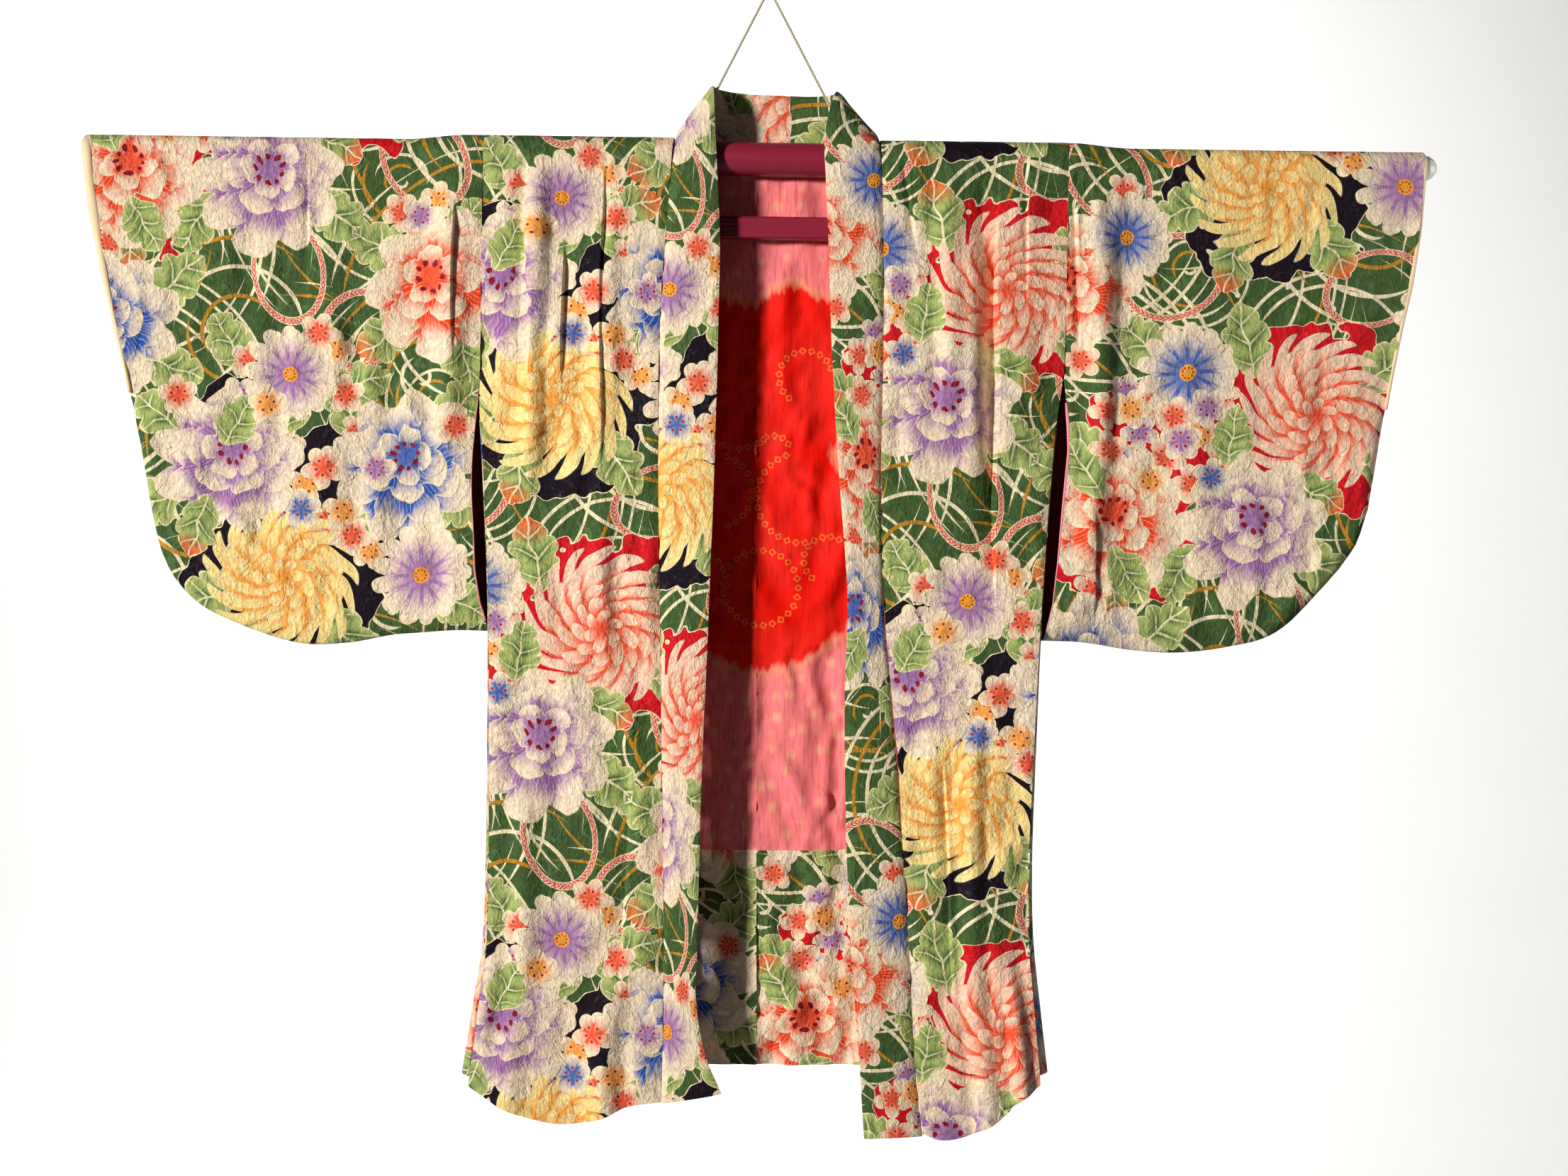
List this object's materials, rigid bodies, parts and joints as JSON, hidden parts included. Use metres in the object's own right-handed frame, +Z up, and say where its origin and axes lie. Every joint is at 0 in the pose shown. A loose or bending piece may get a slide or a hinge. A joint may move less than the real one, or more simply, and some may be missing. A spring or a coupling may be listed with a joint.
{
  "type": "haori kimono jacket on a hanger",
  "caption": "Lined haori, a thigh-length kimono jacket with a collar band and wide rounded sleeves, hung open on a rod hanger with a cord",
  "frame": {"origin": "The inside of the top of the hanging cord, where a hook or nail holds the hanger", "axes": "+X runs along the hanger to the viewer's right, +Y goes to the back of the jacket, away from the viewer, and +Z is up"},
  "size_m": [1.2469, 0.0627, 1.0535],
  "materials": {
    "printed_crepe": "crinkled figured silk crepe, printed with flowers on green and purple",
    "back_lining": "red and pink resist-dyed silk",
    "sleeve_lining": "maroon silk",
    "maroon_plastic": "moulded, slightly scuffed",
    "cream_plastic": "moulded",
    "cord": "thin twisted thread"
  },
  "bodies": {
    "root": {"back_left": "printed_crepe", "back_right": "printed_crepe", "collar_left": "printed_crepe", "collar_right": "printed_crepe", "front_left": "printed_crepe", "front_right": "printed_crepe", "gusset_left": "printed_crepe", "gusset_right": "printed_crepe", "hanger_arm_left": "cream_plastic", "hanger_arm_right": "cream_plastic", "hanger_lower_bar": "maroon_plastic", "hanger_tip_left": "cream_plastic", "hanger_tip_right": "cream_plastic", "hanger_upper_bar": "maroon_plastic", "hanger_yoke_left": "maroon_plastic", "hanger_yoke_right": "maroon_plastic", "hanging_cord": "cord", "hem_facing_left": "printed_crepe", "hem_facing_right": "printed_crepe", "lining_lower_left": "back_lining", "lining_lower_right": "back_lining", "lining_upper_left": "back_lining", "lining_upper_right": "back_lining", "sleeve_left_back": "printed_crepe", "sleeve_left_front": "printed_crepe", "sleeve_lining_left": "sleeve_lining", "sleeve_lining_right": "sleeve_lining", "sleeve_right_back": "printed_crepe", "sleeve_right_front": "printed_crepe"}
  },
  "joints": []
}
